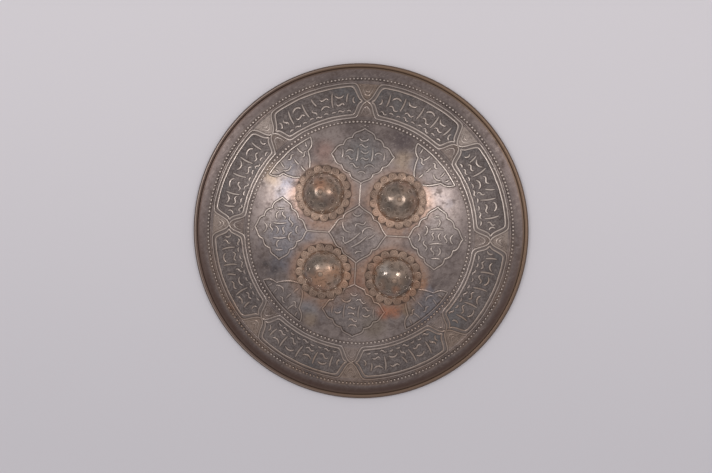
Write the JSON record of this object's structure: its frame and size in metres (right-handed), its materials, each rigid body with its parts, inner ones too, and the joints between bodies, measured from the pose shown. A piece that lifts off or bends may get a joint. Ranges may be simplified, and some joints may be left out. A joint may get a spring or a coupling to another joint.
{
  "type": "buckler shield",
  "caption": "Round dished steel hand shield with a rolled rim, bead rows, sunk ornamental panels, domed bosses on petal rosettes, and strap eyes behind.",
  "frame": {"origin": "centre of the rim on the ground, the shield lying face up", "axes": "+Z out of the crown of the convex face, +Y towards the top of the picture, +X towards its right"},
  "size_m": [0.3598, 0.3598, 0.0609],
  "materials": {
    "plate_steel": "darkened, worn bright on the raised lines",
    "rosette_brass": "coppery brown, worn",
    "boss_brass": "dark brown, worn bright at the crown",
    "back_iron": "plain dark forged iron"
  },
  "bodies": {
    "root": {"shield_plate": "plate_steel", "rosette_upper_right": "rosette_brass", "boss_upper_right": "boss_brass", "rove_upper_right": "back_iron", "eye_bolt_upper_right": "back_iron", "rosette_lower_right": "rosette_brass", "boss_lower_right": "boss_brass", "rove_lower_right": "back_iron", "eye_bolt_lower_right": "back_iron", "rosette_lower_left": "rosette_brass", "boss_lower_left": "boss_brass", "rove_lower_left": "back_iron", "eye_bolt_lower_left": "back_iron", "rosette_upper_left": "rosette_brass", "boss_upper_left": "boss_brass", "rove_upper_left": "back_iron", "eye_bolt_upper_left": "back_iron"}
  },
  "joints": []
}
